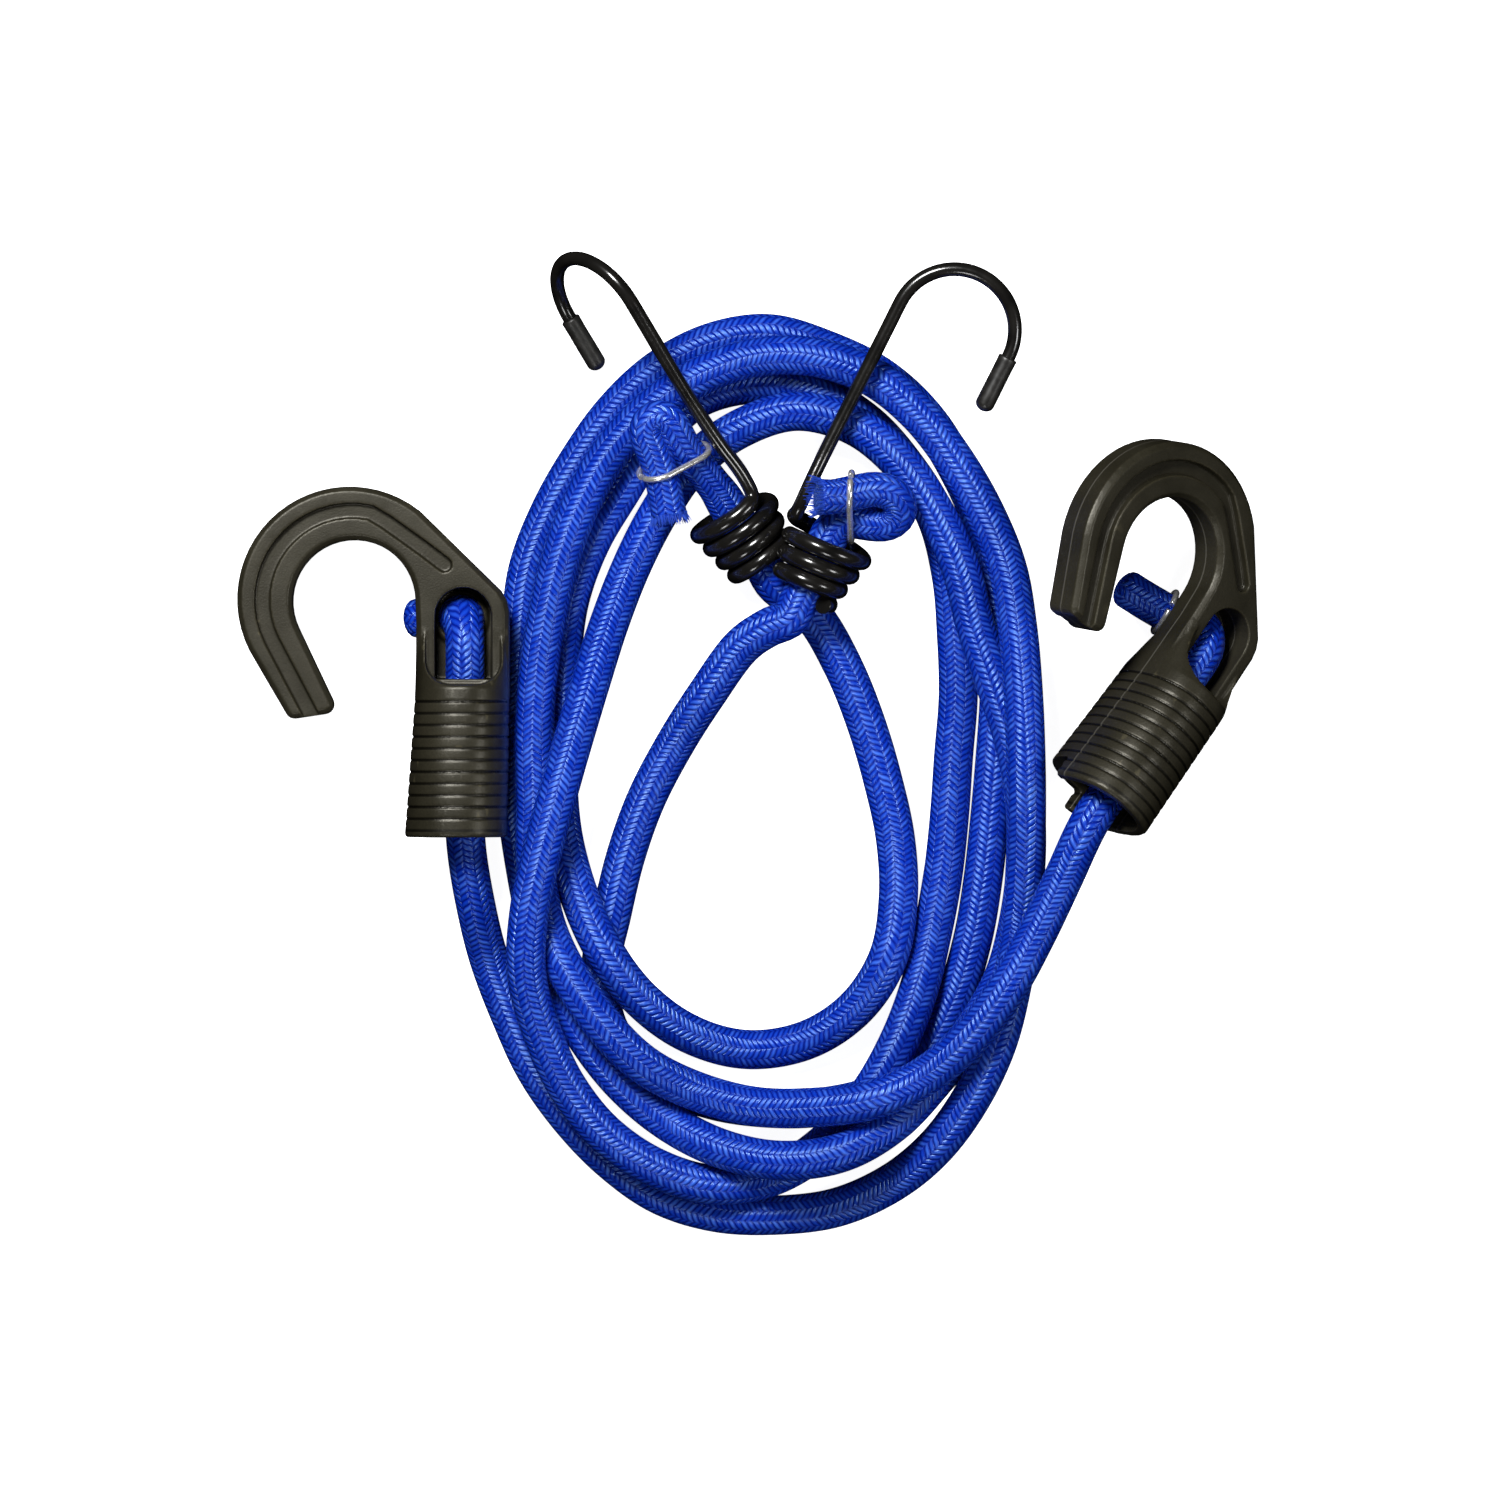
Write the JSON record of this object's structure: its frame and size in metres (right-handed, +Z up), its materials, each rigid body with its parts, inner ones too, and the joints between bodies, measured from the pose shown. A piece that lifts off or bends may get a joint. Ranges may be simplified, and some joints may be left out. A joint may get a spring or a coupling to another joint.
{
  "type": "bungee cord",
  "caption": "Blue braided bungee cords coiled together in an oval bundle, ending in moulded plastic hooks and black coated wire hooks with tip caps.",
  "frame": {"origin": "centre of the bundle's bounding box, on the surface that it lies on", "axes": "+Z up from the surface, +X to the right of the picture, +Y to the picture's top, where the wire hooks are"},
  "size_m": [0.2538, 0.2444, 0.0503],
  "materials": {
    "braid": "woven",
    "core": "matte",
    "moulding": "satin",
    "coated_wire": "gloss",
    "vinyl": "gloss",
    "ring_steel": "bright"
  },
  "bodies": {
    "cords": {"moulded_cord_sheath": "braid", "moulded_cord_core": "core", "wire_cord_sheath": "braid", "wire_cord_core": "core", "left_knot_ring": "ring_steel", "right_knot_ring": "ring_steel"},
    "left_moulded_end": {"left_moulded_hook": "moulding", "left_fold_sheath": "braid", "left_fold_core": "core", "left_fold_ring": "ring_steel"},
    "right_moulded_end": {"right_moulded_hook": "moulding", "right_fold_sheath": "braid", "right_fold_core": "core", "right_fold_ring": "ring_steel"},
    "left_wire_end": {"left_wire_hook": "coated_wire", "left_tip_cap": "vinyl"},
    "right_wire_end": {"right_wire_hook": "coated_wire", "right_tip_cap": "vinyl"}
  },
  "joints": [
    {"name": "left_moulded_swivel", "type": "hinge", "parent": "cords", "child": "left_moulded_end", "pos_m": [-0.07045, -0.02287, 0.0198], "axis": [0, 1, 0], "range_deg": [-12, 52]},
    {"name": "right_moulded_swivel", "type": "hinge", "parent": "cords", "child": "right_moulded_end", "pos_m": [0.0863, -0.01617, 0.031], "axis": [0.5348, 0.7928, -0.2924], "range_deg": [-15, 75]},
    {"name": "left_wire_swivel", "type": "hinge", "parent": "cords", "child": "left_wire_end", "pos_m": [-0.0047, 0.05863, 0.0128], "axis": [-0.5038, 0.8384, 0.2079], "range_deg": [-6, 42]},
    {"name": "right_wire_swivel", "type": "hinge", "parent": "cords", "child": "right_wire_end", "pos_m": [0.02055, 0.05203, 0.022], "axis": [0.4476, 0.89, 0.0872], "range_deg": [-14, 3]}
  ]
}
